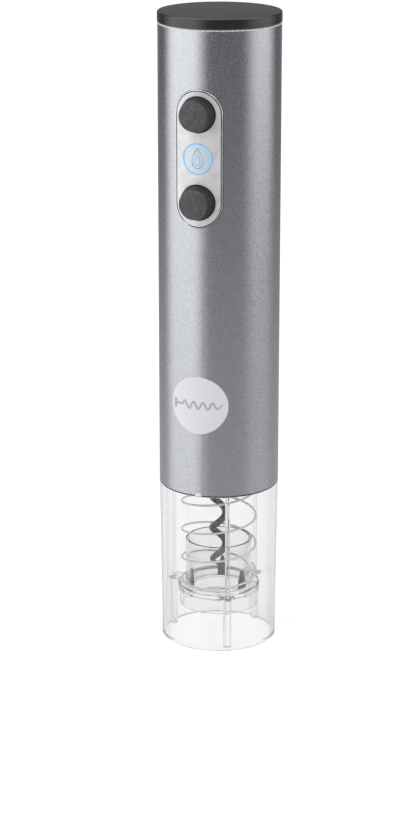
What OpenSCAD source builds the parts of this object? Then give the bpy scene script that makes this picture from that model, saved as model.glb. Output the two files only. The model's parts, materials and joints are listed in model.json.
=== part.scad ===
// Cordless electric wine opener, standing on its clear sleeve.
// Millimetres. Origin at the centre of the sleeve's bottom rim, +Z up, -Y is the button side.

/* [Case] */
// outside diameter of the case tube
body_d = 50; // [50:0.1:50.4]
// length of the metallic case tube
body_h = 193; // [193:0.5:196]
// wall of the case tube
body_wall = 1.5; // [1.3:0.05:1.5]

/* [Clear sleeve] */
// visible height of the clear sleeve
sleeve_h = 69; // [69:0.5:70]
// outside radius of the sleeve's straight foot
foot_r = 24.1; // [24:0.05:24.3]
// inside radius of the sleeve's mouth
mouth_r = 22.5; // [22.3:0.05:22.6]

/* [Button plate] */
// half width of the button plate's bezel
bezel_hw = 10; // [9.6:0.1:10.4]
// distance of each button from the plate's middle
button_off = 18; // [18:0.1:19]
// height of the plate's middle above the case's lower edge
plate_up = 141.5; // [140:0.5:142]
// how far a button stands out of the plate
button_out = 5.9; // [5:0.1:7]

/* [Badge] */
// radius of the printed disc on the case
badge_r = 12.2; // [8:0.1:14]
// height of the disc above the case's lower edge
badge_up = 39.3; // [30:0.1:60]

/* [Worm and spring] */
// outside radius of the worm
worm_r = 4.2; // [4:0.1:4.4]
// rise of the worm in one turn
worm_pitch = 14; // [12:0.5:16]
// coil radius of the grip spring, to the wire's centre
spring_r = 15.7; // [15.6:0.05:15.8]
// wire diameter of the grip spring
spring_wire = 1; // [0.9:0.05:1.1]

/* [Hidden] */
$fn = 96;
eps = 0.01;
body_r = body_d / 2;
body_in = body_r - body_wall;
z_case = sleeve_h;
z_top = z_case + body_h;
z_plate = z_case + plate_up;
z_badge = z_case + badge_up;
z_keys = z_plate + 0.3;
key_off = button_off - 0.3;
rod_r = 20.9;
rod_angles = [180, -60, 60];
boss_top = 22;
seat_z = z_case - 0.9;
ring_z = 14;
ring_top = 23.4;
lip_z = 20;
lip_top = 21.6;
guide_r = 14;
guide_in = 12.9;
guide_top = 43;
claw_angles = [-138, -18, 102];
gear_m = 0.5;
gear_pa = 25;
sun_n = 12;
planet_n = 21;
ring_n = 54;
gear_c = gear_m * (sun_n + planet_n) / 2;
gear_bl = 0.05;
gz2 = z_case + 21;
gz1 = z_case + 30;
motor_z = z_case + 40;
motor_h = 41;
tray_z = z_case + 130;
tray_top = z_top - 7;
cell_r = 7.15;
cell_c = 7.4;
cell_z = tray_z + 3;
plate_out = 25.45;
button_r = 7.05;
button_face = 6.0;

CLEAR = [0.86, 0.9, 0.92, 0.35];
SATIN = [0.55, 0.57, 0.6];
STEEL = [0.75, 0.76, 0.78];
BLACK = [0.09, 0.09, 0.1];
DARK = [0.2, 0.2, 0.22];
WHITE = [0.9, 0.9, 0.9];
NYLON = [0.82, 0.8, 0.72];
BRONZE = [0.65, 0.48, 0.25];
BLUE = [0.45, 0.75, 0.95];
GREEN = [0.1, 0.35, 0.2];

// ---- shared shapes ----

module disc(r, z0, z1) {
  translate([0, 0, z0])
    cylinder(r = r, h = z1 - z0);
}

module tube(ro, ri, z0, z1) {
  difference() {
    disc(ro, z0, z1);
    disc(ri, z0 - 1, z1 + 1);
  }
}

// a cylinder along Y whose front end is at y0 and rear end at y1, y0 < y1
module peg(r, y0, y1, x, z) {
  translate([x, y1, z])
    rotate([90, 0, 0])
      cylinder(r = r, h = y1 - y0);
}

// a stadium prism along Y, centred on the plate
module stadium(hw, y0, y1) {
  translate([0, y1, z_plate])
    rotate([90, 0, 0])
      linear_extrude(y1 - y0)
        union() {
          square([2 * hw, 2 * button_off], center = true);
          translate([0, button_off])
            circle(hw);
          translate([0, -button_off])
            circle(hw);
        }
}

// ---- swept wire ----

function unit(v) = v / norm(v);

// frame of the wire: two unit vectors across its direction d
function across(d, e) = unit(e - (e * d) * d);

module sweep(pts, rad, side, n) {
  m = len(pts);
  dirs = [for (i = [0:m - 1]) unit(pts[min(i + 1, m - 1)] - pts[max(i - 1, 0)])];
  verts = [for (i = [0:m - 1])
    let (u = across(dirs[i], side[i]), w = cross(dirs[i], u))
      for (k = [0:n - 1]) pts[i] + rad[i] * (cos(360 * k / n) * u + sin(360 * k / n) * w)];
  quads = [for (i = [0:m - 2]) for (k = [0:n - 1])
    [i * n + k, (i + 1) * n + k, (i + 1) * n + (k + 1) % n, i * n + (k + 1) % n]];
  tris = [for (q = quads) for (t = [[q[0], q[1], q[2]], [q[0], q[2], q[3]]]) t];
  first = [for (k = [1:n - 2]) [0, k, k + 1]];
  last = [for (k = [1:n - 2]) [(m - 1) * n, (m - 1) * n + k + 1, (m - 1) * n + k]];
  polyhedron(points = verts, faces = concat(tris, first, last), convexity = 12);
}

// ---- gears ----

function inv_deg(rb, r) = r <= rb ? 0 : tan(acos(rb / r)) * 180 / PI - acos(rb / r);

function polar(r, a) = [r * cos(a), r * sin(a)];

// outline of a spur gear with a tooth on the +X axis
function gear_pts(z, ra, rr, bl) =
  let (rp = gear_m * z / 2, rb = rp * cos(gear_pa), rs = max(rb, rr))
  let (hp = 90 / z - bl / 2 / rp * 180 / PI + inv_deg(rb, rp))
  let (flank = [for (i = [0:4]) rs + (ra - rs) * i / 4])
  let (low = rr < rb ? [rr] : [])
  let (right = concat([for (r = low) [r, -hp]], [for (r = flank) [r, inv_deg(rb, r) - hp]]))
  let (tooth = concat(right, [for (i = [len(right) - 1:-1:0]) [right[i][0], -right[i][1]]]))
  [for (k = [0:z - 1]) for (p = tooth) polar(p[0], p[1] + 360 * k / z)];

module gear(z, z0, h, bore) {
  rp = gear_m * z / 2;
  difference() {
    translate([0, 0, z0])
      linear_extrude(h)
        polygon(gear_pts(z, rp + 0.4, rp - 0.5, gear_bl));
    disc(bore, z0 - 1, z0 + h + 1);
  }
}

module planet(stage_z, a) {
  color(NYLON)
    rotate([0, 0, a])
      translate([gear_c, 0, 0])
        gear(planet_n, stage_z, 5.6, 1.45);
}

// a carrier disc with its three planet pins
module carrier(disc_z, disc_h, pin_top) {
  disc(11.5, disc_z, disc_z + disc_h);
  for (a = [0, 120, 240])
    rotate([0, 0, a])
      translate([gear_c, 0, 0])
        disc(1.4, disc_z + disc_h - eps, pin_top);
}

// ---- sleeve, ring and spring ----

module rod_post(a) {
  rotate([0, 0, a])
    translate([rod_r, 0, 0]) {
      disc(1.0, boss_top - 1, seat_z - 0.3);
      disc(1.6, 1, boss_top);
      translate([0.8, -0.6, 1])
        cube([1.2, 1.2, boss_top - 1]);
    }
}

module clear_sleeve() {
  top_r = body_r - 0.1;
  spigot_r = body_in - 0.15;
  color(CLEAR)
    union() {
      rotate_extrude()
        polygon([[mouth_r + 0.8, 0], [foot_r - 0.3, 0], [foot_r, 0.3], [foot_r, 8],
          [top_r, z_case - 0.1], [spigot_r, z_case - 0.1], [spigot_r, z_case + 10.6],
          [spigot_r - 0.4, z_case + 11], [21.9, z_case + 11], [21.9, z_case + 1.3],
          [mouth_r, z_case + 1.3], [mouth_r, 1.4]]);
      for (a = rod_angles)
        rod_post(a);
    }
}

module sleeve_key() {
  color(WHITE)
    intersection() {
      peg(1.5, -26, -23, 0, z_case);
      tube(body_r - 0.1, body_in - 0.05, z_case - 0.05, z_case + 3);
    }
}

module spring_seat() {
  color(WHITE)
    union() {
      tube(mouth_r - 0.1, 9, seat_z, seat_z + 2);
      tube(14.5, 13.6, seat_z - 1.6, seat_z + eps);
    }
}

module grip_spring() {
  z0 = ring_top + spring_wire / 2;
  z1 = seat_z - spring_wire / 2;
  turns = 4.7;
  steps = 28;
  m = floor(turns * steps);
  flat = 0.7;
  rise = z1 - z0 - 2 * flat * 1.3;
  mid = turns - 2 * flat;
  pts = [for (i = [0:m])
    let (t = i / steps, a = 360 * t + 38)
    let (s = t < flat ? t * 1.3 : t < turns - flat ? flat * 1.3 + (t - flat) / mid * rise
      : z1 - z0 - (turns - t) * 1.3)
      [spring_r * cos(a), spring_r * sin(a), z0 + min(s, z1 - z0)]];
  side = [for (p = pts) [p[0], p[1], 0]];
  color(DARK)
    sweep(pts, [for (p = pts) spring_wire / 2 - 0.02], side, 10);
}

module ring_ear(a) {
  rotate([0, 0, a])
    difference() {
      translate([16.2, -3, boss_top + 0.05])
        cube([5.8, 6, ring_top - boss_top - 0.05]);
      translate([rod_r, 0, 0])
        disc(1.3, boss_top - 1, ring_top + 1);
      translate([rod_r, -1.3, boss_top - 1])
        cube([3, 2.6, 4]);
    }
}

module grip_ring() {
  color(CLEAR)
    union() {
      rotate_extrude()
        polygon([[15.2, ring_z], [16.3, ring_z], [16.6, ring_z + 0.3], [16.6, lip_z],
          [17.3, lip_z + 0.3], [17.3, ring_top - 0.3], [17, ring_top], [guide_r + 0.05, ring_top],
          [guide_r + 0.05, lip_top], [12.4, lip_top], [12.4, lip_z], [15.2, lip_z]]);
      for (a = rod_angles)
        ring_ear(a);
    }
}

module cork_guide() {
  color(CLEAR)
    tube(guide_r, guide_in, lip_top + 0.02, guide_top);
}

module cork_claws() {
  color(DARK)
    for (a = claw_angles)
      rotate([0, 0, a])
        union() {
          translate([11.3, -2.1, lip_top + 0.02])
            cube([1.35, 4.2, 0.8]);
          translate([12.3, 0, lip_top + 0.02])
            rotate([0, -90, 0])
              linear_extrude(0.8)
                polygon([[0, -2.1], [3, -2.1], [8.8, -0.5], [8.8, 0.5], [3, 2.1], [0, 2.1]]);
        }
}

// ---- case, plate, buttons and badge ----

module body_shell() {
  color(SATIN)
    difference() {
      rotate_extrude()
        polygon([[body_in, z_case], [body_r - 0.25, z_case], [body_r, z_case + 0.25],
          [body_r, z_top - 0.5], [body_r - 0.5, z_top], [body_in, z_top]]);
      stadium(bezel_hw + 0.1, -30, -15);
      peg(1.7, -30, -20, 0, z_case - 0.2);
    }
}

module plate_bezel() {
  color(STEEL)
    difference() {
      intersection() {
        stadium(bezel_hw, -30, -15);
        rotate_extrude()
          polygon([[22.7, z_plate - 40], [25.3, z_plate - 40], [25.6, z_plate - 39],
            [25.6, z_plate + 39], [25.3, z_plate + 40], [22.7, z_plate + 40]]);
      }
      stadium(bezel_hw - 0.7, -31, -14);
    }
}

module button_plate() {
  color(STEEL)
    difference() {
      intersection() {
        stadium(bezel_hw - 0.8, -30, -23.4);
        disc(plate_out, z_plate - 40, z_plate + 40);
      }
      for (s = [-1, 1])
        peg(7.25, -31, -20, 0, z_keys + s * key_off);
      peg(6.5, -31, -20, 0, z_keys);
    }
}

module light_lens() {
  color(BLUE)
    intersection() {
      peg(6.4, -30, -22.2, 0, z_keys);
      disc(plate_out, z_plate - 10, z_plate + 10);
    }
}

module badge() {
  color(WHITE)
    intersection() {
      peg(badge_r, -30, -15, 0, z_badge);
      tube(body_r + 0.12, body_r + 0.02, z_badge - 20, z_badge + 20);
    }
}

module button(z) {
  face = plate_out + button_out;
  color(BLACK)
    translate([0, 0, z])
      rotate([90, 0, 0])
        rotate_extrude()
          polygon([[0, 22.9], [8, 22.9], [8, 23.3], [button_r, 23.3], [button_r, 26.5],
            [button_r - 0.2, 26.8], [button_face + 0.2, face - 1.2], [button_face, face - 0.8],
            [button_face - 0.4, face - 0.5], [4, face - 0.24], [2, face - 0.06], [0, face]]);
}

module button_up() {
  button(z_keys + key_off);
}

module button_down() {
  button(z_keys - key_off);
}

// ---- chassis and drive ----

module base_bulkhead() {
  color(BLACK)
    tube(body_in - 0.1, 8, z_case + 12.5, z_case + 15);
}

module chassis_half(s) {
  z0 = z_case + 15.2;
  z1 = tray_z - 1;
  difference() {
    union() {
      tube(body_in - 0.2, body_in - 1.7, z0, z1);
      tube(body_in - 1, 17.6, z_case + 19.5, z_case + 21.5);
      tube(body_in - 1, 17.6, z_case + 35, z_case + 37);
      tube(body_in - 1, 14.0, motor_z + 30, motor_z + 32);
      tube(body_in - 1, 8, z1 - 2, z1);
      for (z = [z_case + 50, z_case + 92])
        for (y = [-18.6, 18.6])
          translate([-4, y, z])
            rotate([0, 90, 0])
              cylinder(r = 2.4, h = 8);
    }
    translate([s > 0 ? -29.95 : -0.05, -30, z0 - 1])
      cube([30, 60, z1 - z0 + 2]);
    translate([-bezel_hw - 0.2, -30, z_plate - 30])
      cube([2 * bezel_hw + 0.4, 14, 60]);
    for (z = [z_case + 50, z_case + 92])
      for (y = [-18.6, 18.6])
        translate([-20, y, z])
          rotate([0, 90, 0])
            cylinder(r = 1.05, h = 40);
  }
}

module chassis_left() {
  color(BLACK)
    chassis_half(-1);
}

module chassis_right() {
  color(BLACK)
    chassis_half(1);
}

module chassis_screws() {
  color(STEEL)
    for (z = [z_case + 50, z_case + 92])
      for (y = [-18.6, 18.6])
        translate([0, y, z])
          rotate([0, 90, 0]) {
            translate([0, 0, -3.8])
              cylinder(r = 1, h = 8);
            translate([0, 0, 4.05])
              cylinder(r = 1.9, h = 1.3);
          }
}

module gearbox_ring() {
  color(NYLON)
    difference() {
      disc(17.5, z_case + 19.1, z_case + 36.9);
      translate([0, 0, z_case + 18])
        linear_extrude(20)
          polygon(gear_pts(ring_n, gear_m * ring_n / 2 + 0.5, gear_m * ring_n / 2 - 0.4, -gear_bl));
    }
}

module gearbox_cover() {
  color(BLACK)
    tube(17.5, 6.55, z_case + 16, z_case + 19);
}

module output_bush() {
  color(BRONZE)
    tube(6.5, 4.05, z_case + 15.4, z_case + 19);
}

module motor_plate() {
  color(BLACK)
    difference() {
      disc(17.5, z_case + 37, z_case + 39.8);
      disc(3, z_case + 36, z_case + 41);
      for (x = [-8, 8])
        translate([x, 0, 0])
          disc(1.6, z_case + 36, z_case + 41);
    }
}

module motor_screws() {
  color(STEEL)
    for (x = [-8, 8])
      translate([x, 0, 0]) {
        disc(2.4, z_case + 36.1, z_case + 36.95);
        disc(1.4, z_case + 36.9, motor_z + 0.95);
      }
}

module motor_can() {
  color(STEEL)
    difference() {
      union() {
        disc(13.85, motor_z, motor_z + motor_h);
        disc(2.9, motor_z - 1.5, motor_z + 0.1);
      }
      disc(12.6, motor_z + 1.2, motor_z + motor_h + 1);
      disc(1.06, motor_z - 2, motor_z + 2);
      for (x = [-8, 8])
        translate([x, 0, 0])
          disc(1.45, motor_z - 1, motor_z + 2);
    }
}

module motor_magnets() {
  color(DARK)
    difference() {
      tube(12.5, 10.7, motor_z + 5, motor_z + 35);
      translate([-20, -3, motor_z])
        cube([40, 6, 40]);
    }
}

module motor_endcap() {
  color(BLACK)
    difference() {
      union() {
        disc(13.6, motor_z + motor_h + 0.05, motor_z + motor_h + 2.5);
        disc(12.5, motor_z + motor_h - 2, motor_z + motor_h + 0.1);
      }
      disc(1.06, motor_z + motor_h - 3, motor_z + motor_h + 4);
    }
}

module motor_shaft() {
  color(STEEL)
    disc(1, gz1 - 0.3, motor_z + motor_h + 1.5);
}

module armature() {
  color(BRONZE)
    union() {
      tube(10.1, 1.02, motor_z + 6, motor_z + 32);
      tube(4, 1.02, motor_z + 31.9, motor_z + 37);
    }
}

module sun_gear_1() {
  color(STEEL)
    gear(sun_n, gz1, 6, 1.02);
}

module carrier_1() {
  color(STEEL)
    carrier(gz1 - 2.4, 1.8, gz1 + 5.8);
}

module sun_gear_2() {
  color(STEEL)
    translate([0, 0, gz2])
      linear_extrude(6.55)
        polygon(gear_pts(sun_n, gear_m * sun_n / 2 + 0.4, gear_m * sun_n / 2 - 0.5, gear_bl));
}

module carrier_2() {
  color(STEEL)
    union() {
      carrier(gz2 - 1.7, 1.5, gz2 + 5.8);
      disc(4, z_case + 8.6, gz2 - 1.6);
    }
}

module planet_1a() {
  planet(gz1, 0);
}

module planet_1b() {
  planet(gz1, 120);
}

module planet_1c() {
  planet(gz1, 240);
}

module planet_2a() {
  planet(gz2, 0);
}

module planet_2b() {
  planet(gz2, 120);
}

module planet_2c() {
  planet(gz2, 240);
}

module worm_hub() {
  color(STEEL)
    difference() {
      union() {
        disc(6, z_case + 3, z_case + 14);
        translate([0, 0, z_case + 3 - 1.5])
          cylinder(r1 = 4.6, r2 = 6, h = 1.51);
      }
      disc(4.03, z_case + 8.5, z_case + 15);
      disc(1.56, z_case, z_case + 9);
    }
}

module worm() {
  z_start = z_case + 1;
  z_tip = 26;
  shank = z_case + 8;
  turns = (z_start - z_tip) / worm_pitch;
  steps = 30;
  m = floor(turns * steps);
  wire = 1.4;
  rc = worm_r - wire;
  helix = [for (i = [0:m])
    let (t = i / steps, a = 65 - 360 * t, g = min(t / 0.5, 1), rr = rc * g * g * (3 - 2 * g))
      [rr * cos(a), rr * sin(a), z_start - t * worm_pitch]];
  top = [[0, 0, shank], [0, 0, z_start + 2]];
  pts = concat(top, helix);
  k = len(pts);
  rad = [for (i = [0:k - 1]) i > k - 22 ? wire * max((k - 1 - i) / 22, 0.06) + 0.02 : wire];
  side = [for (i = [0:k - 1]) let (a = 65 - 360 * max(i - 2, 0) / steps) [cos(a), sin(a), 0]];
  color(DARK)
    sweep(pts, rad, side, 14);
}

// ---- electrics ----

module circuit_board() {
  color(GREEN)
    translate([-8.5, -20.6, z_plate - 27])
      cube([17, 1.2, 54]);
}

module tact_switches() {
  color(DARK)
    for (s = [-1, 1])
      union() {
        translate([-3, -21.3, z_keys + s * key_off - 3])
          cube([6, 0.68, 6]);
        peg(1.6, -21.6, -21.2, 0, z_keys + s * key_off);
      }
}

module status_led() {
  color(BLUE)
    peg(1.6, -22, -20.62, 0, z_keys);
}

module battery_tray() {
  hw = 15.9;
  color(BLACK)
    difference() {
      union() {
        for (s = [-1, 1])
          translate([-hw + (s > 0 ? 0 : 3.5), -hw + (s > 0 ? 3.5 : 0), tray_z])
            cube([2 * hw - (s > 0 ? 0 : 7), 2 * hw - (s > 0 ? 7 : 0), tray_top - tray_z]);
        for (x = [-hw + 3.5, hw - 3.5])
          for (y = [-hw + 3.5, hw - 3.5])
            translate([x, y, 0])
              disc(3.5, tray_z, tray_top);
        difference() {
          disc(body_in - 0.1, tray_top - 1.6, tray_top);
          translate([-9.2, -30, tray_top - 2])
            cube([18.4, 14, 3]);
        }
      }
      for (x = [-cell_c, cell_c])
        for (y = [-cell_c, cell_c])
          translate([x, y, 0])
            disc(cell_r + 0.12, tray_z + 1.5, tray_top + 1);
    }
}

module cell(x, y, up) {
  z0 = up ? cell_z : cell_z + 1.5;
  translate([x, y, 0]) {
    disc(cell_r, z0, z0 + 48.5);
    disc(2.75, up ? z0 + 48.4 : cell_z, up ? z0 + 50 : z0 + 0.1);
  }
}

module cells_up() {
  color(SATIN)
    union() {
      cell(-cell_c, -cell_c, true);
      cell(cell_c, cell_c, true);
    }
}

module cells_down() {
  color(SATIN)
    union() {
      cell(-cell_c, cell_c, false);
      cell(cell_c, -cell_c, false);
    }
}

module lower_contacts() {
  color(STEEL)
    for (x = [-cell_c, cell_c])
      for (y = [-cell_c, cell_c])
        translate([x, y, 0]) {
          disc(5.5, tray_z + 1.52, tray_z + 1.9);
          translate([0, 0, tray_z + 1.85])
            cylinder(r1 = 3.2, r2 = 2, h = 1);
        }
}

module motor_wires() {
  color(DARK)
    for (s = [-1, 1])
      translate([s * 7, 0, 0])
        disc(0.7, motor_z + motor_h + 2.55, tray_z - 0.1);
}

// ---- cap ----

module top_cap() {
  z = z_top + 0.1;
  color(BLACK)
    difference() {
      rotate_extrude()
        polygon([[0, z], [21.2, z], [21.2, z - 5], [22.9, z - 5], [22.9, z],
          [25.15, z], [25.3, z + 0.15], [25.3, z + 3.5], [25.2, z + 3.85], [24.9, z + 4.1],
          [23.8, z + 4.33], [18, z + 4.64], [9, z + 4.84], [0, z + 4.9]]);
      rotate_extrude()
        translate([22.9, z - 2.4])
          circle(r = 0.62, $fn = 32);
    }
}

module cap_seal() {
  color(DARK)
    rotate_extrude()
      translate([22.85, z_top - 2.3])
        circle(r = 0.55, $fn = 32);
}

module cap_contacts() {
  color(STEEL)
    difference() {
      disc(15, z_top - 0.5, z_top + 0.05);
      translate([-20, -0.6, z_top - 2])
        cube([40, 1.2, 4]);
    }
}

clear_sleeve();
sleeve_key();
spring_seat();
grip_spring();
grip_ring();
cork_guide();
cork_claws();
body_shell();
plate_bezel();
button_plate();
light_lens();
badge();
button_up();
button_down();
base_bulkhead();
chassis_left();
chassis_right();
chassis_screws();
gearbox_ring();
gearbox_cover();
output_bush();
worm();
worm_hub();
carrier_2();
planet_2a();
planet_2b();
planet_2c();
carrier_1();
sun_gear_2();
planet_1a();
planet_1b();
planet_1c();
motor_plate();
motor_screws();
motor_can();
motor_magnets();
motor_endcap();
motor_shaft();
armature();
sun_gear_1();
motor_wires();
circuit_board();
tact_switches();
status_led();
battery_tray();
cells_up();
cells_down();
lower_contacts();
top_cap();
cap_seal();
cap_contacts();
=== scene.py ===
# %% [markdown]
# # A cordless wine opener, dressed for its portrait
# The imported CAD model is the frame: every part is already at its real place and size, in metres, with the
# sleeve's lower rim on the floor and the buttons towards -Y. This lesson gives the parts their finishes,
# and rebuilds the ones whose edges, wires and marks need more than the frame has.

# %% Load the frame
import json
import math

import bpy
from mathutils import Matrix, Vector


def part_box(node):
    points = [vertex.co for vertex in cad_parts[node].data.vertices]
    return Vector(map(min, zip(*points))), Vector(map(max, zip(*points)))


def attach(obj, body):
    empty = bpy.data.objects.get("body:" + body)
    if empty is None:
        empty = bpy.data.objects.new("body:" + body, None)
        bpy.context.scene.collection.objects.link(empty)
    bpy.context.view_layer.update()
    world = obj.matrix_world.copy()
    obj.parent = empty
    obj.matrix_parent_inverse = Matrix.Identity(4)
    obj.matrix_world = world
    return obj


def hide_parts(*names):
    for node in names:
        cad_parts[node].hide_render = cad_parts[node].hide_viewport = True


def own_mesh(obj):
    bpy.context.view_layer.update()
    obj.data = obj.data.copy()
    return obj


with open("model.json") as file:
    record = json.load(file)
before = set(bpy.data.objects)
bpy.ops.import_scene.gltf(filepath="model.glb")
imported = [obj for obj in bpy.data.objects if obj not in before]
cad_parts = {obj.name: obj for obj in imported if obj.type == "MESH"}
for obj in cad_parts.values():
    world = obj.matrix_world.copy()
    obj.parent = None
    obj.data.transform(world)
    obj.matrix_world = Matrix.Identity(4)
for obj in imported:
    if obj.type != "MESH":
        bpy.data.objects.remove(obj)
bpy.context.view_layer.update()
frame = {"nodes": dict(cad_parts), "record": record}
nodes = frame["nodes"]
MM = 0.001
print("parts in the frame:", len(nodes))

# %% [markdown]
# ## Measures taken from the frame
# Positions come from the parts themselves, so that a new piece fits its neighbours without any fitting by
# eye.

# %% Measures
case_low, case_high = (v.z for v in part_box("body_shell"))
case_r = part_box("body_shell")[1].x
cap_low, cap_high = (v.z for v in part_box("top_cap"))
cap_r = case_r + 0.00015
plate_low, plate_high = (v.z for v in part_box("plate_bezel"))
plate_mid = (plate_low + plate_high) / 2
bezel_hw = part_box("plate_bezel")[1].x
bezel_out = -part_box("plate_bezel")[0].y
plate_out = -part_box("button_plate")[0].y
badge_mid = sum(v.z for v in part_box("badge")) / 2
lens_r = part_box("light_lens")[1].x
lens_mid = sum(v.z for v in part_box("light_lens")) / 2
button_zs = [sum(v.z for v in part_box(n)) / 2 for n in ("button_up", "button_down")]
button_front = -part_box("button_up")[0].y
print("case", round(case_low, 4), round(case_high, 4), "plate middle", round(plate_mid, 4))

# %% [markdown]
# ## The camera
# A long lens a metre away, looking down by about seventeen degrees and standing twenty degrees to the right
# of the buttons. The picture is tall, so the vertical side of the sensor is the one that is set.

# %% Camera
CAM_AZIMUTH = math.radians(20.2)
CAM_AIM = math.radians(0.34)
CAM_PITCH = math.radians(17.49)
CAM_DISTANCE = 0.990
CAM_HEIGHT = 0.4067
SENSOR = 24.0
LENS = 70.6

bpy.ops.object.camera_add(
    location=(CAM_DISTANCE * math.sin(CAM_AZIMUTH), -CAM_DISTANCE * math.cos(CAM_AZIMUTH), CAM_HEIGHT),
    rotation=(math.pi / 2 - CAM_PITCH, 0, CAM_AZIMUTH + CAM_AIM))
camera = bpy.context.object
camera.data.sensor_fit = "VERTICAL"
camera.data.sensor_height = SENSOR
camera.data.lens = LENS
camera.data.clip_end = 50
bpy.context.scene.camera = camera
bpy.context.scene.view_settings.view_transform = "Standard"
print("lens", LENS, "mm")

# %% [markdown]
# ## Shader maths as plain expressions
# A finish is easier to read as a sum than as boxes and wires. `Value` wraps a node's output, and adding or
# multiplying two of them adds the Math node that does it. `Finish` makes a material and any other node.

# %% Value and Finish
class Value:
    def __init__(self, finish, socket):
        self.finish = finish
        self.socket = socket

    def _math(self, operation, a, b=0.0):
        return self.finish.node("ShaderNodeMath", {"operation": operation}, {0: a, 1: b})

    def __add__(self, other):
        return self._math("ADD", self, other)

    __radd__ = __add__

    def __mul__(self, other):
        return self._math("MULTIPLY", self, other)

    __rmul__ = __mul__

    def __sub__(self, other):
        return self._math("SUBTRACT", self, other)

    def __rsub__(self, other):
        return self._math("SUBTRACT", other, self)

    def __pow__(self, other):
        return self._math("POWER", self, other)

    def __lt__(self, other):
        return self._math("LESS_THAN", self, other)

    def __gt__(self, other):
        return self._math("GREATER_THAN", self, other)

    def __abs__(self):
        return self._math("ABSOLUTE", self)


class Finish:
    def __init__(self, name, tree=None):
        if tree is None:
            self.material = bpy.data.materials.new(name)
            self.material.use_nodes = True
            tree = self.material.node_tree
        self.tree = tree
        self.tree.nodes.clear()

    def node(self, kind, settings=None, inputs=None, out=0):
        made = self.tree.nodes.new(kind)
        for key, value in (settings or {}).items():
            setattr(made, key, value)
        for key, value in (inputs or {}).items():
            self.feed(made.inputs[key], value)
        return Value(self, made.outputs[out])

    def feed(self, socket, value):
        if isinstance(value, Value):
            self.tree.links.new(value.socket, socket)
        else:
            socket.default_value = value

    def place(self):
        return self.node("ShaderNodeTexCoord", out="Object")

    def split(self, vector):
        parts = self.node("ShaderNodeSeparateXYZ", inputs={0: vector})
        return [Value(self, parts.socket.node.outputs[i]) for i in range(3)]

    def stretched(self, scale, turn=(0, 0, 0), shift=(0, 0, 0)):
        return self.node("ShaderNodeMapping", inputs={
            "Vector": self.place(), "Scale": scale, "Rotation": turn, "Location": shift})

    def noise(self, per_metre, detail=2.0, rough=0.5, vector=None):
        return self.node("ShaderNodeTexNoise", inputs={
            "Vector": vector or self.place(), "Scale": per_metre, "Detail": detail, "Roughness": rough})

    def cells(self, per_metre, vector=None, out="Color"):
        return self.node("ShaderNodeTexVoronoi", inputs={
            "Vector": vector or self.place(), "Scale": per_metre}, out=out)

    def span(self, value, low, high, to_low=0.0, to_high=1.0, smooth=False):
        return self.node("ShaderNodeMapRange", {"interpolation_type": "SMOOTHSTEP" if smooth else "LINEAR"}, {
            "Value": value, "From Min": low, "From Max": high, "To Min": to_low, "To Max": to_high})

    def mix(self, factor, a, b):
        made = self.tree.nodes.new("ShaderNodeMix")
        made.data_type = "RGBA"
        self.feed(made.inputs[0], factor)
        self.feed(made.inputs[6], a)
        self.feed(made.inputs[7], b)
        return Value(self, made.outputs[2])

    def bump(self, height, distance, strength=1.0):
        return self.node("ShaderNodeBump", inputs={
            "Height": height, "Distance": distance, "Strength": strength})

    def principled(self, **sockets):
        return self.node("ShaderNodeBsdfPrincipled", inputs={
            k.replace("_", " "): v for k, v in sockets.items()})

    def surface(self, shader):
        out = self.tree.nodes.new("ShaderNodeOutputMaterial")
        self.feed(out.inputs["Surface"], shader)
        return self.material


def grey(v, a=1.0):
    return (v, v, v, a)


print("helpers ready")

# %% [markdown]
# ## Finishes of the outside
# The case is satin metallic lacquer: a grey base full of tiny flakes that each catch the light a little
# differently, under a thin clear coat. Two sizes of random cells make the flakes, and a wide noise makes
# the faint unevenness of sprayed lacquer. The chamfer at the top, under the cap, carries a painted
# highlight: it is painted near white and not metal, so it stays bright. A thin band at the bottom edge
# carries painted shade: it is painted dark.

# %% Case lacquer
CHAMFER_DEEP = 0.0006
CHAMFER_WIDE = 0.00055
FOOT_SHADE_BAND = 0.0004
BIG_FLAKES = 1300
SMALL_FLAKES = 2600


def case_lacquer():
    f = Finish("case_lacquer")
    big_flake = f.split(f.cells(BIG_FLAKES))[0]
    small_flake = f.split(f.cells(SMALL_FLAKES))[1]
    drift = f.noise(45, 3)
    tone = (big_flake - 0.5) * 0.22 + (small_flake - 0.5) * 0.24 + (drift - 0.5) * 0.08 + 0.5
    colour = f.mix(tone, (0.42, 0.425, 0.445, 1), (0.73, 0.735, 0.765, 1))
    x, y, z = f.split(f.place())
    radius = (x * x + y * y) ** 0.5
    # painted highlight: the chamfer band under the cap is painted near white and not metal, standing in for a
    # bright line of light
    painted_rim_and_bare_room = (z > case_high - CHAMFER_DEEP) * (radius < case_r - 0.00001) * (radius > case_r - CHAMFER_WIDE)
    colour = f.mix(painted_rim_and_bare_room, colour, (0.93, 0.93, 0.94, 1))
    # painted shade: a thin band along the bottom edge of the case is painted dark
    colour = f.mix(z < case_low + FOOT_SHADE_BAND, colour, (0.12, 0.12, 0.13, 1))
    rough = 0.24 + (small_flake - 0.5) * 0.10 + (drift - 0.5) * 0.04
    bump = f.bump(big_flake * 0.5 + small_flake * 0.5, 0.00002, 0.35)
    return f.surface(f.principled(
        Base_Color=colour, Metallic=(1 - painted_rim_and_bare_room) * 0.95, Roughness=rough, Normal=bump,
        Coat_Weight=0.08, Coat_Roughness=0.3))


# %% [markdown]
# The cap is moulded in black plastic with a fine spark-eroded grain, and a slightly glossier edge where
# hands and the mould's parting line have polished it.

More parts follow.
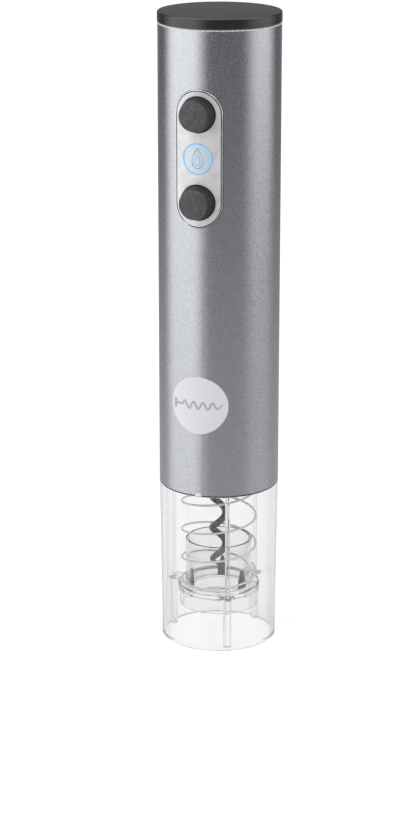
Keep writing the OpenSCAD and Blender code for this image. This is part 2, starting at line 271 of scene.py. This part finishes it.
# %% Moulded black plastic
def moulded(name, dark, light, rough, grain=2200, depth=0.00002, edge_r=None, shine=0.5):
    f = Finish(name)
    fine = f.noise(grain, 3, 0.6)
    wide = f.noise(60, 3)
    colour = f.mix(fine * 0.6 + wide * 0.4, dark, light)
    roughness = f.span(fine * 0.5 + wide * 0.5, 0.3, 0.7, rough - 0.05, rough + 0.05)
    if edge_r:
        x, y, z = f.split(f.place())
        radius = (x * x + y * y) ** 0.5
        roughness = roughness - f.span(radius, edge_r - 0.0015, edge_r, 0.0, 0.08, True)
    return f.surface(f.principled(
        Base_Color=colour, Roughness=roughness, Specular_IOR_Level=shine, Normal=f.bump(fine, depth, 0.6)))


# %% [markdown]
# The buttons are soft-touch rubber, matt, with a coarser skin and a little dust in it. Where a face height
# is given, the skirt below that face is painted darker, fading to black: painted shade for the gap round a
# real button.

# %% Rubber
def rubber(name, dark=(0.016, 0.016, 0.017, 1), light=(0.05, 0.05, 0.052, 1), face_y=None):
    f = Finish(name)
    skin = f.noise(1300, 4, 0.65)
    dust = f.noise(420, 3, 0.6)
    colour = f.mix(f.span(skin * 0.5 + dust * 0.5, 0.35, 0.7), dark, light)
    if face_y:
        # painted shade: the skirt below the face is painted nearly black, for the shade down in the gap round
        # it
        depth = f.split(f.place())[1] * -1.0
        colour = f.mix(f.span(depth, face_y - 0.0014, face_y - 0.0007), grey(0.008), colour)
    return f.surface(f.principled(
        Base_Color=colour, Roughness=0.5 + (dust - 0.5) * 0.2, Specular_IOR_Level=0.5,
        Normal=f.bump(skin, 0.00006, 0.7)))


# %% [markdown]
# Brushed steel has scratches that run one way. Noise squeezed hard along the other axis gives them, in the
# roughness, in the colour and as a very shallow bump.

# %% Brushed and bright metal
def brushed(name, base, rough, along=(90, 90, 4200), spread=0.1):
    f = Finish(name)
    lines = f.noise(1.0, 3, 0.7, f.stretched(along))
    blotch = f.noise(120, 2)
    low = tuple(c * 0.86 for c in base[:3]) + (1,)
    colour = f.mix(lines * 0.75 + blotch * 0.25, low, base)
    return f.surface(f.principled(
        Base_Color=colour, Metallic=1.0, Roughness=rough + (lines - 0.5) * spread,
        Normal=f.bump(lines, 0.00001, 0.6)))


def polished(name, base, rough=0.12, scuff=900):
    f = Finish(name)
    wear = f.noise(scuff, 3, 0.6)
    low = tuple(c * 0.9 for c in base[:3]) + (1,)
    return f.surface(f.principled(
        Base_Color=f.mix(wear, low, base), Metallic=1.0,
        Roughness=f.span(wear, 0.35, 0.75, rough, rough + 0.1), Normal=f.bump(wear, 0.000006, 0.4)))


# %% [markdown]
# Clear plastic is glass with a hint of haze and of flow lines, which keep it from looking like crystal.
# Edges that turn away from the eye carry painted shade: their colour is painted darker, standing in for
# the dark surroundings that clear edges reflect. The posts moulded inside the sleeve are thicker, so they
# are greyer, and their edges are painted darker still. For shadow rays the plastic counts as thin air,
# because a real clear tube lets the light through to what stands inside it.

# %% Clear plastic
POST_NEAR = 0.0190
POST_FAR = 0.02215


def clear_plastic(name, tint=(0.90, 0.90, 0.907, 1)):
    f = Finish(name)
    flow = f.noise(1.0, 2, 0.5, f.stretched((70, 70, 18)))
    haze = f.span(flow, 0.45, 0.75, 0.01, 0.04)
    x, y, z = f.split(f.place())
    radius = (x * x + y * y) ** 0.5
    post = (radius > POST_NEAR) * (radius < POST_FAR)
    # painted shade: the colour turns dark grey where the surface turns away from the eye, more so on the
    # posts
    edge = f.node("ShaderNodeLayerWeight", inputs={"Blend": 0.5}, out="Facing") ** 3.0
    body = f.mix(post, f.mix(flow, tint, grey(0.945)), grey(0.88))
    colour = f.mix(edge * (post * 0.4 + 0.5), body, grey(0.25))
    glass = f.principled(
        Base_Color=colour, Roughness=haze, IOR=1.5, Transmission_Weight=1.0,
        Normal=f.bump(flow, 0.00002, 0.3))
    thin_air = f.node("ShaderNodeBsdfTransparent", inputs={"Color": grey(0.97)})
    shadow = f.node("ShaderNodeLightPath", out="Is Shadow Ray")
    return f.surface(f.node("ShaderNodeMixShader", inputs={0: shadow, 1: glass, 2: thin_air}))


# %% [markdown]
# The button plate is steel with a satin, almost paper-like surface: mostly a pale matt layer with only some
# metal in it, clouded by a broad noise and drawn out into a fine grain across the plate.

# %% Satin plate
def satin_plate():
    f = Finish("plate_satin")
    cloud = f.noise(260, 4, 0.6)
    grain = f.noise(1.0, 2, 0.5, f.stretched((5200, 900, 900)))
    tone = f.span(cloud, 0.35, 0.65, 0.0, 0.8) + grain * 0.2
    colour = f.mix(tone, (0.70, 0.70, 0.705, 1), (0.88, 0.88, 0.88, 1))
    return f.surface(f.principled(
        Base_Color=colour, Metallic=0.3, Roughness=0.42 + (grain - 0.5) * 0.12,
        Normal=f.bump(cloud * 0.6 + grain * 0.4, 0.00002, 0.3)))


# %% [markdown]
# Printing ink is flat and a little uneven where the screen's mesh shows. The lens is frosted and lit from
# behind, and its glow follows a ring, so the light is a function of the distance from the lens's middle.

# %% Printed white, lens and lit mark
GLOW_R = 0.0056
GLOW_WIDE = 0.0016


def printed(name, base):
    f = Finish(name)
    screen = f.noise(2400, 2)
    soft = f.noise(90, 2)
    low = tuple(c * 0.93 for c in base[:3]) + (1,)
    return f.surface(f.principled(
        Base_Color=f.mix(screen * 0.5 + soft * 0.5, low, base), Roughness=0.42 + (screen - 0.5) * 0.1,
        Normal=f.bump(screen, 0.000008, 0.5)))


def lit_lens():
    f = Finish("lit_lens")
    x, y, z = f.split(f.place())
    radius = (x * x + (z - lens_mid) ** 2.0) ** 0.5
    frost = f.noise(1600, 3)
    glow = f.span(abs(radius - GLOW_R), 0.0, GLOW_WIDE, 1.0, 0.0, True)
    uneven = f.span(f.noise(170, 2), 0.35, 0.65, 0.25, 1.0)
    # painted light: the base colour is painted bluer along the glow ring, on top of the emission
    colour = f.mix(frost * 0.15 + glow * uneven * 0.8, (0.72, 0.77, 0.80, 1), (0.42, 0.70, 0.88, 1))
    lit = f.mix(glow * uneven, (0.0, 0.0, 0.0, 1), (0.10, 0.40, 0.75, 1))
    return f.surface(f.principled(
        Base_Color=colour, Metallic=0.3, Roughness=0.35 + frost * 0.1, Emission_Color=lit,
        Emission_Strength=0.35))


def lit_mark():
    f = Finish("lit_mark")
    flicker = f.span(f.noise(260, 2), 0.35, 0.65)
    return f.surface(f.principled(
        Base_Color=f.mix(flicker, (0.10, 0.32, 0.52, 1), (0.22, 0.55, 0.85, 1)), Roughness=0.4,
        Emission_Color=f.mix(flicker, (0.04, 0.22, 0.42, 1), (0.10, 0.42, 0.80, 1)), Emission_Strength=0.4))


# %% [markdown]
# ## Finishes of the inside
# Nothing of the drive shows while the opener stands, but every part has its own finish for the day it is
# taken apart: natural nylon, sintered bronze, lacquered copper, ferrite, solder mask, and shrink-wrapped
# cells.

# %% Inside finishes
def speckled(name, dark, light, rough, per_metre=900, metallic=0.0, depth=0.00002):
    f = Finish(name)
    grain = f.noise(per_metre, 4, 0.65)
    return f.surface(f.principled(
        Base_Color=f.mix(grain, dark, light), Metallic=metallic,
        Roughness=rough + (grain - 0.5) * 0.15, Normal=f.bump(grain, depth, 0.5)))


def solder_mask():
    f = Finish("solder_mask")
    tracks = f.node("ShaderNodeTexBrick", {"offset": 0.5}, {
        "Vector": f.stretched((260, 260, 260), turn=(math.pi / 2, 0, 0)), "Scale": 1.0,
        "Color1": grey(0.0), "Color2": grey(0.0), "Mortar": grey(1.0), "Mortar Size": 0.06})
    grain = f.noise(500, 2)
    colour = f.mix(tracks, (0.02, 0.16, 0.07, 1), (0.05, 0.30, 0.14, 1))
    return f.surface(f.principled(Base_Color=colour, Roughness=0.3 + grain * 0.1))


CELL_BAND = 0.238


def cell_wrap():
    f = Finish("cell_wrap")
    band = f.split(f.place())[2] > CELL_BAND
    grain = f.noise(700, 3)
    colour = f.mix(band, (0.05, 0.06, 0.075, 1), (0.55, 0.40, 0.18, 1))
    return f.surface(f.principled(
        Base_Color=f.mix(grain * 0.3, colour, grey(0.3)), Metallic=0.4, Roughness=0.32 + grain * 0.08))


FINISH = {
    "satin_case": case_lacquer(),
    "cap_black": moulded("cap_plastic", (0.013, 0.013, 0.014, 1), (0.026, 0.0255, 0.026, 1), 0.32,
                         edge_r=cap_r, shine=0.8),
    "inner_black": moulded("inner_plastic", grey(0.02), grey(0.04), 0.5, 1200),
    "white_plastic": moulded("white_plastic", grey(0.72), grey(0.85), 0.4, 900),
    "button_rubber": rubber("button_rubber", (0.04, 0.04, 0.041, 1), (0.12, 0.12, 0.122, 1), button_front),
    "seal_rubber": rubber("seal_rubber"),
    "bezel_chrome": polished("bezel_chrome", (0.90, 0.905, 0.91, 1), 0.09),
    "plate_steel": satin_plate(),
    "steel": brushed("steel", (0.62, 0.63, 0.65, 1), 0.3, (60, 60, 1500)),
    "worm_steel": polished("worm_coating", (0.085, 0.085, 0.095, 1), 0.25),
    "claw_steel": polished("claw_steel", (0.07, 0.07, 0.075, 1), 0.3),
    "spring_steel": polished("spring_steel", (0.66, 0.66, 0.68, 1), 0.14),
    "clear_plastic": clear_plastic("clear_plastic"),
    "blue_lens": lit_lens(),
    "print_white": printed("print_white", (0.78, 0.785, 0.80, 1)),
    "gear_nylon": speckled("gear_nylon", (0.66, 0.62, 0.5, 1), (0.82, 0.79, 0.7, 1), 0.45),
    "bronze": speckled("bronze", (0.35, 0.22, 0.09, 1), (0.62, 0.43, 0.2, 1), 0.4, 2500, 1.0),
    "copper": speckled("copper", (0.5, 0.18, 0.07, 1), (0.8, 0.38, 0.2, 1), 0.3, 1800, 1.0),
    "magnet": speckled("ferrite", grey(0.025), grey(0.07), 0.6, 1500),
    "board_green": solder_mask(),
    "led_blue": speckled("led_blue", (0.15, 0.35, 0.85, 1), (0.35, 0.6, 0.98, 1), 0.15),
    "cell_wrap": cell_wrap(),
    "wire_red": speckled("wire_red", (0.35, 0.02, 0.02, 1), (0.5, 0.05, 0.04, 1), 0.4),
}
print("finishes:", len(FINISH))

# %% [markdown]
# Each part of the frame takes the finish of its own material slot.

# %% Dress the frame's parts
slot_of = {row["node"]: row["material_slot"] for row in frame["record"]["subparts"]}
for name, part in nodes.items():
    for material_slot in part.material_slots:
        material_slot.material = FINISH[slot_of[name]]
print("dressed:", len(slot_of))

# %% [markdown]
# ## Tools for modelling
# A few helpers cover most pieces. `lathe` draws a profile point by point with the extrude operator and
# spins it. `wire` sweeps a round section along a path, with its own radius at each point. `carve` applies a
# boolean, `joined` makes one mesh of several, and `settle` names a finished piece and gives it its finish.

# %% Modelling helpers
def only(obj):
    bpy.ops.object.select_all(action="DESELECT")
    obj.select_set(True)
    bpy.context.view_layer.objects.active = obj


def tidy_mesh(obj, angle=40, gap=2e-6):
    only(obj)
    bpy.ops.object.mode_set(mode="EDIT")
    bpy.ops.mesh.select_all(action="SELECT")
    bpy.ops.mesh.remove_doubles(threshold=gap)
    bpy.ops.mesh.normals_make_consistent(inside=False)
    bpy.ops.object.mode_set(mode="OBJECT")
    bpy.ops.object.shade_smooth_by_angle(angle=math.radians(angle))


def settle(obj, name, finish):
    only(obj)
    bpy.ops.object.transform_apply(location=True, rotation=True, scale=True)
    obj.name = name
    obj.data.name = name
    obj.data.materials.clear()
    obj.data.materials.append(finish)
    print(name, len(obj.data.polygons), "faces")
    return obj


def lathe(points, steps=128, axis=(0, 0, 1), centre=(0, 0, 0)):
    """points are (radius, height) in metres; the axis is +Z or -Y."""
    def at(p):
        r, h = p
        return Vector(centre) + (Vector((r, 0, h)) if axis == (0, 0, 1) else Vector((r, -h, 0)))
    bpy.ops.object.select_all(action="DESELECT")
    bpy.ops.mesh.primitive_plane_add(size=MM)
    obj = bpy.context.object
    bpy.ops.object.mode_set(mode="EDIT")
    bpy.ops.mesh.select_all(action="SELECT")
    bpy.ops.mesh.merge(type="CENTER")
    here = at(points[0])
    bpy.ops.transform.translate(value=here)
    for p in points[1:]:
        bpy.ops.mesh.extrude_region_move(TRANSFORM_OT_translate={"value": at(p) - here})
        here = at(p)
    bpy.ops.mesh.select_all(action="SELECT")
    bpy.ops.mesh.spin(steps=steps, angle=2 * math.pi, center=centre, axis=axis)
    bpy.ops.object.mode_set(mode="OBJECT")
    return obj


def wire(points, radii, sides=12, closed=False):
    curve = bpy.data.curves.new("wire", "CURVE")
    curve.dimensions = "3D"
    curve.bevel_depth = 1.0
    curve.bevel_resolution = max(0, sides // 4 - 1)
    curve.use_fill_caps = not closed
    spline = curve.splines.new("POLY")
    spline.points.add(len(points) - 1)
    for point, at, radius in zip(spline.points, points, radii):
        point.co = (*at, 1.0)
        point.radius = radius
    spline.use_cyclic_u = closed
    obj = bpy.data.objects.new("wire", curve)
    bpy.context.scene.collection.objects.link(obj)
    only(obj)
    bpy.ops.object.convert(target="MESH")
    return bpy.context.object


def carve(obj, tool, operation="DIFFERENCE"):
    only(obj)
    cut = obj.modifiers.new("cut", "BOOLEAN")
    cut.operation = operation
    cut.solver = "EXACT"
    cut.object = tool
    bpy.ops.object.modifier_apply(modifier="cut")
    bpy.data.objects.remove(tool)
    return obj


def joined(parts):
    only(parts[0])
    for other in parts[1:]:
        other.select_set(True)
    bpy.ops.object.join()
    return bpy.context.object


def soften(obj, width, segments=3, angle=35):
    only(obj)
    edge = obj.modifiers.new("edge", "BEVEL")
    edge.width = width
    edge.segments = segments
    edge.limit_method = "ANGLE"
    edge.angle_limit = math.radians(angle)
    bpy.ops.object.modifier_apply(modifier="edge")
    return obj


def arc(cx, cz, rx, rz, a0, a1, n=8):
    """Profile points on a quarter of an ellipse, angles in degrees."""
    return [(cx + rx * math.cos(math.radians(a0 + (a1 - a0) * i / n)),
             cz + rz * math.sin(math.radians(a0 + (a1 - a0) * i / n))) for i in range(n + 1)]


print("tools ready")

# %% [markdown]
# ## The cap
# The battery cap is a shallow black disc with a soft shoulder, a barely domed top and a plug below it. It
# is lathed, because everything on it is round, with a quarter ellipse of points for the shoulder.

# %% Cap
PLUG_IN = 0.0212
PLUG_OUT = 0.0229
PLUG_TALL = 0.005
GROOVE_R = 0.02235


def make_cap():
    rise = 0.00065
    dome = cap_high - rise
    shoulder = 0.0006
    seat = cap_low + PLUG_TALL
    profile = [(0.0, seat), (PLUG_IN, seat), (PLUG_IN, cap_low), (PLUG_OUT, cap_low)]
    profile += [(PLUG_OUT, cap_low + 0.0018), (GROOVE_R, cap_low + 0.0024), (PLUG_OUT, cap_low + 0.003)]
    profile += [(PLUG_OUT, seat), (cap_r - 0.0002, seat), (cap_r, seat + 0.0002)]
    profile += arc(cap_r - shoulder, dome - shoulder, shoulder, shoulder, 0, 82, 10)
    edge = profile[-1][0]
    profile += [(edge * (1 - t / 10), dome + rise * math.sin(math.pi / 2 * t / 10)) for t in range(1, 11)]
    obj = lathe(profile, 160)
    tidy_mesh(obj, 40)
    return settle(obj, "cap_moulding", FINISH["cap_black"])


cap = make_cap()
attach(cap, "cap")
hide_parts("top_cap")

# %% [markdown]
# ## The buttons
# Each button is a tapered rubber plug. Its face is gently domed, and its rim is rounded over. Each is lathed
# about its own axis, at its own height.

# %% Buttons
FLANGE_R = 0.0080
STEM_R = 0.00705


def make_button(z):
    face = button_front
    rim = 0.0060
    profile = [(0.0, 0.0229), (FLANGE_R, 0.0229), (FLANGE_R, 0.0233), (STEM_R, 0.0233), (STEM_R, 0.0265)]
    profile += arc(0.0067, 0.0265, 0.00035, 0.0003, 0, 80, 4)
    profile += arc(rim - 0.0006, face - 0.00115, 0.00068, 0.0007, 15, 75, 8)
    profile += [(t / 1000, face - 0.00052 * (t / 5.4) ** 2) for t in (5.0, 4.0, 3.0, 2.0, 1.0, 0.0)]
    obj = lathe(profile, 96, axis=(0, -1, 0), centre=(0, 0, z))
    tidy_mesh(obj, 40)
    return obj


for z, name, body in ((button_zs[0], "button_up", "key_up"), (button_zs[1], "button_down", "key_down")):
    piece = settle(make_button(z), name + "_rubber", FINISH["button_rubber"])
    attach(piece, body)
    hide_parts(name)

# %% [markdown]
# ## Shapes that follow the case's curve
# The plate, its rim, the lit mark and the printed sign all lie on the round case. `on_case` puts a flat
# drawing point on a cylinder of a given radius, looking along Y as the buttons do.

# %% Drawing on the case
def on_case(x, z, radius):
    return Vector((x, -math.sqrt(radius * radius - x * x), z))


def stadium_path(half_width, half_straight, mid, n=24):
    round_end = [(half_width * math.cos(math.pi * i / n), half_width * math.sin(math.pi * i / n))
                 for i in range(n + 1)]
    side = [half_straight * (1 - i / 6) for i in range(1, 12)]
    path = [(x, mid + half_straight + z) for x, z in round_end]
    path += [(-half_width, mid + z) for z in side]
    path += [(-x, mid - half_straight - z) for x, z in round_end]
    path += [(half_width, mid - z) for z in side]
    return path


half_straight = (plate_high - plate_low) / 2 - bezel_hw

# %% [markdown]
# ## The button plate and its bezel
# A steel stadium, curved like the case, with two holes for the buttons and one for the lens. A stadium
# block is built from a cube and two cylinders, and trimmed by the case's own curve. The plate is such a
# block, drilled and with softened edges. The bezel is a wider block with a stadium cut out of it, topped by
# a polished half-round bead. Two thin black beads on both sides of it are painted shade: dark lines put
# where the narrow gaps show only shade.

# %% Stadium blocks
def block(kind, size, z, depth, y):
    bpy.ops.object.select_all(action="DESELECT")
    if kind == "cube":
        bpy.ops.mesh.primitive_cube_add(size=1, location=(0, y, z), scale=(2 * size[0], depth, 2 * size[1]))
    else:
        bpy.ops.mesh.primitive_cylinder_add(vertices=size[1], radius=size[0], depth=depth, location=(0, y, z),
                                            rotation=(math.pi / 2, 0, 0))
    bpy.ops.object.transform_apply(location=True, rotation=True, scale=True)
    return bpy.context.object


def stadium_block(half_width, rear, front):
    depth, y = front - rear, -(front + rear) / 2
    obj = block("cube", (half_width, half_straight), plate_mid, depth, y)
    for s in (-1, 1):
        carve(obj, block("round", (half_width, 96), plate_mid + s * half_straight, depth, y), "UNION")
    return obj


def trim_to_curve(obj, radius):
    bpy.ops.object.select_all(action="DESELECT")
    bpy.ops.mesh.primitive_cylinder_add(vertices=720, radius=radius, depth=0.09, location=(0, 0, plate_mid))
    return carve(obj, bpy.context.object, "INTERSECT")


print("stadium half straight", round(half_straight, 4))

# %% Plate
PLATE_HW = bezel_hw - 0.0008
PLATE_R = bezel_out - 0.00015
BUTTON_HOLE_R = 0.0074
LENS_GAP = 0.00008


def make_plate():
    obj = trim_to_curve(stadium_block(PLATE_HW, 0.0234, 0.030), PLATE_R)
    for z in button_zs:
        carve(obj, block("round", (BUTTON_HOLE_R, 96), z, 0.03, -0.027))
    carve(obj, block("round", (lens_r + LENS_GAP, 96), lens_mid, 0.03, -0.027))
    soften(obj, 0.0001, 2, 50)
    tidy_mesh(obj, 30, 1e-7)
    return settle(obj, "plate_face", FINISH["plate_steel"])


plate = make_plate()
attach(plate, "handle")
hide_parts("button_plate")

# %% Bezel
BEAD = 0.00024


def stadium_wire(half_width, radius, thick):
    path = [on_case(x, z, radius) for x, z in stadium_path(half_width, half_straight, plate_mid)]
    return wire(path, [thick] * len(path), 12, True)


def make_bezel():
    middle = PLATE_HW + 0.00052
    seat = trim_to_curve(stadium_block(middle + BEAD, 0.0226, 0.030), case_r - 0.00005)
    carve(seat, stadium_block(middle - BEAD, 0.0150, 0.031))
    obj = joined([seat, stadium_wire(middle, PLATE_R - BEAD, BEAD)])
    tidy_mesh(obj, 40, 1e-8)
    return settle(obj, "bezel_rim", FINISH["bezel_chrome"])


bezel = make_bezel()
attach(bezel, "handle")
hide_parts("plate_bezel")

# %% Painted shade lines round the bezel
# painted shade: two thin black beads, one on each side of the bezel, put where the gaps show only shade
def make_gap_shade_lines():
    inner = stadium_wire(PLATE_HW + 0.00015, case_r + 0.00002, 0.00016)
    outer = stadium_wire(bezel_hw - 0.00014, case_r - 0.00001, 0.00014)
    obj = joined([inner, outer])
    tidy_mesh(obj, 60, 1e-8)
    # the black seal rubber finish here is painted shade, not a real seal
    return settle(obj, "bezel_gap_shade", FINISH["seal_rubber"])


gap_shade_lines = make_gap_shade_lines()
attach(gap_shade_lines, "handle")

# %% [markdown]
# ## The lit mark
# Between the buttons a lens glows blue. Its mark is a plain ring round a drop of wine, drawn as fine beads
# that stand a hair above the lens.

# %% Lit mark
RING_R = 0.0060
DROP_HALF_WIDE = 0.0031
DROP_HALF_TALL = 0.0041


def make_mark():
    lift = plate_out + 0.00002
    thin = 0.00014
    middle = lens_mid + 0.0003
    made = []
    ring = [(RING_R * math.cos(2 * math.pi * i / 64), lens_mid + RING_R * math.sin(2 * math.pi * i / 64))
            for i in range(64)]
    drop = []
    for i in range(48):
        a = 2 * math.pi * i / 48
        across = DROP_HALF_WIDE * math.sin(a) * (math.sin(a / 2) ** 1.2)
        drop.append((across, middle + DROP_HALF_TALL * math.cos(a)))
    inner = [(x * 0.5, middle + (z - middle) * 0.5 - 0.0008) for x, z in drop]
    for shape, width in ((ring, thin), (drop, thin), (inner, thin * 0.7)):
        path = [on_case(x, z, lift) for x, z in shape]
        made.append(wire(path, [width] * len(path), 8, True))
    obj = joined(made)
    tidy_mesh(obj, 60, 1e-8)
    return settle(obj, "lit_mark", lit_mark())


mark = make_mark()
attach(mark, "handle")

# %% [markdown]
# ## The printed disc
# The pale disc low on the case carries a sign in grey: a worm lying across, with its point at one end. A
# row of waves that shrink to the point says what the object does without a word.

# %% Printed sign
def make_sign():
    lift = case_r + 0.00010
    start, end = -0.0104, 0.0112
    turns = 4.5
    n = 150
    path = []
    radii = []
    for i in range(n + 1):
        t = i / n
        x = start + (end - start) * t
        wave = 0.0 if t < 0.16 else math.sin(2 * math.pi * turns * (t - 0.16) / 0.84)
        fade = 1.0 if t < 0.8 else 1 - (t - 0.8) / 0.2 * 0.75
        path.append(on_case(x, badge_mid + 0.0014 * wave * fade, lift))
        radii.append(0.00052 * (1.0 if t < 0.85 else 1 - (t - 0.85) / 0.15 * 0.8))
    worm_line = wire(path, radii, 8)
    bar = [on_case(start, badge_mid + z, lift) for z in (-0.0021, -0.0010, 0, 0.0010, 0.0021)]
    obj = joined([worm_line, wire(bar, [0.0008] * 5, 8)])
    tidy_mesh(obj, 60, 1e-8)
    # press the round strokes almost flat against the case
    for v in obj.data.vertices:
        out = math.hypot(v.co.x, v.co.y)
        keep = lift + (out - lift) * 0.12
        v.co.x *= keep / out
        v.co.y *= keep / out
    return settle(obj, "printed_sign", printed("print_grey", (0.46, 0.465, 0.48, 1)))


sign = make_sign()
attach(sign, "handle")

# %% [markdown]
# ## Worm and spring
# Both are wound wire. A helix with a radius at each point gives the worm its lead-in, its even turns and
# its sharpened tip; the spring has dead turns at both ends. On the real opener the spring shortens with
# the ring that it pushes.

# %% Worm
def ease(t):
    t = min(max(t, 0.0), 1.0)
    return t * t * (3 - 2 * t)


def make_worm():
    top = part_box("worm")[1].z
    pitch = 0.014
    wire_r = 0.0014
    outer = 0.0042
    start = case_low + 0.001
    tip = 0.026
    turns = (start - tip) / pitch
    steps = 48
    n = int(turns * steps)
    path = [Vector((0, 0, top - 0.00005)), Vector((0, 0, start + 0.004)), Vector((0, 0, start + 0.002))]
    radii = [wire_r] * 3
    for i in range(n + 1):
        t = i / steps
        a = math.radians(65) - 2 * math.pi * t
        r = (outer - wire_r - 0.00004) * ease(t / 0.5)
        path.append(Vector((r * math.cos(a), r * math.sin(a), start - t * pitch)))
        left = (n - i) / (0.75 * steps)
        radii.append(wire_r * (1.0 if left > 1 else 0.06 + 0.94 * left ** 0.8))
    obj = wire(path, radii, 20)
    tidy_mesh(obj, 50, 1e-7)
    return settle(obj, "worm_wire", FINISH["worm_steel"])


worm = make_worm()
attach(worm, "worm_drive")
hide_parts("worm")

# %% Spring
def make_spring():
    low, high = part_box("grip_spring")
    turns = 4.7
    steps = 48
    flat = 0.7
    dead = 0.0013
    wire_r = 0.00048
    coil_r = 0.0157
    z0 = low.z + wire_r + 0.00002
    z1 = high.z - wire_r - 0.00002
    rise = z1 - z0 - 2 * flat * dead
    n = int(turns * steps)
    path = []
    for i in range(n + 1):
        t = i / steps
        a = math.radians(360 * t + 38)
        if t < flat:
            s = t * dead
        elif t < turns - flat:
            s = flat * dead + (t - flat) / (turns - 2 * flat) * rise
        else:
            s = z1 - z0 - (turns - t) * dead
        path.append(Vector((coil_r * math.cos(a), coil_r * math.sin(a), z0 + min(s, z1 - z0))))
    obj = wire(path, [wire_r] * len(path), 12)
    tidy_mesh(obj, 50, 1e-7)
    return settle(obj, "spring_wire", FINISH["spring_steel"])


spring = make_spring()
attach(spring, "sleeve")
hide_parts("grip_spring")
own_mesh(spring)

# %% [markdown]
# ## The studio
# A pale floor that runs to the horizon, a large soft light overhead, and a dim room with wide white walls
# of light. A bright one stands on the left and another on the right, and the dark gap between them draws
# the soft dark band down the middle of the case. A faint one behind gives the flat top of the cap its
# sheen. The walls fade towards the floor, where the room itself grows paler. The walls are plain sums of
# soft steps, because few round numbers are easier to change than a picture of a studio.

# %% Floor
def floor_finish():
    f = Finish("studio_floor")
    grain = f.noise(30, 2)
    return f.surface(f.principled(
        Base_Color=f.mix(grain, grey(0.42), grey(0.44)), Roughness=0.6, Specular_IOR_Level=0.2,
        Emission_Color=grey(1.0), Emission_Strength=0.65))


bpy.ops.object.select_all(action="DESELECT")
bpy.ops.mesh.primitive_plane_add(size=60)
floor = bpy.context.object
floor.name = "floor"
floor.data.materials.append(floor_finish())
floor.visible_glossy = False
print("floor", round(floor.dimensions.x), "m across")

# %% Room light
WALL_HEAD = -0.14
WALL_FOOT = -0.34
SOFT_EDGE = 32
BACKGROUND = 0.88


def wall_of_light(f, away, z, half_width, foot, head_level, foot_level):
    """A soft upright panel: `away` is the angle from its middle in degrees, and it is dimmest at its foot."""
    across = f.span(away, half_width - SOFT_EDGE / 2, half_width + SOFT_EDGE / 2, 1.0, 0.0, True)
    return across * f.span(z, foot, WALL_HEAD, foot_level, head_level)


def room_light():
    world = bpy.data.worlds.new("studio_room")
    world.use_nodes = True
    bpy.context.scene.world = world
    f = Finish("room", world.node_tree)
    x, y, z = f.split(f.node("ShaderNodeTexCoord", out="Generated"))
    # degrees round the room from the side that the first view looks from, positive to the right
    turn = f.node("ShaderNodeMath", {"operation": "ARCTAN2"}, {
        0: x * math.cos(CAM_AZIMUTH) + y * math.sin(CAM_AZIMUTH),
        1: x * math.sin(CAM_AZIMUTH) - y * math.cos(CAM_AZIMUTH)}) * (180 / math.pi)
    left = wall_of_light(f, abs(turn + 72), z, half_width=38, foot=WALL_FOOT, head_level=1.4, foot_level=0.45)
    right = wall_of_light(f, abs(turn - 85), z, half_width=27, foot=-0.22, head_level=1.2, foot_level=0.1)
    behind = wall_of_light(f, 180 - abs(turn), z, half_width=30, foot=-0.20, head_level=0.2, foot_level=0.0)
    painted_rim_and_bare_room = f.span(z, WALL_FOOT, WALL_HEAD, 0.5, 0.06)
    above = f.span(z, -0.85, -0.5, smooth=True)
    level = (left + right + behind + painted_rim_and_bare_room) * above + (1 - above) * 0.42
    room = f.node("ShaderNodeBackground", inputs={"Color": (0.96, 0.97, 1.0, 1), "Strength": level})
    plain = f.node("ShaderNodeBackground", inputs={"Color": grey(BACKGROUND), "Strength": 1.0})
    seen = f.node("ShaderNodeLightPath", out="Is Camera Ray")
    through = f.node("ShaderNodeLightPath", out="Is Transmission Ray")
    both = f.node("ShaderNodeMixShader", inputs={0: seen + through * (z > -0.08), 1: room, 2: plain})
    out = f.tree.nodes.new("ShaderNodeOutputWorld")
    f.feed(out.inputs["Surface"], both)


room_light()
print("room light: walls on the left, on the right and behind")

# %% Overhead light
bpy.ops.object.light_add(type="AREA", location=(0, 0, 2.5))
overhead = bpy.context.object
overhead.data.shape = "DISK"
overhead.data.size = 5.0
overhead.data.energy = 62
overhead.visible_camera = False
print("overhead disk", overhead.data.size, "m across")
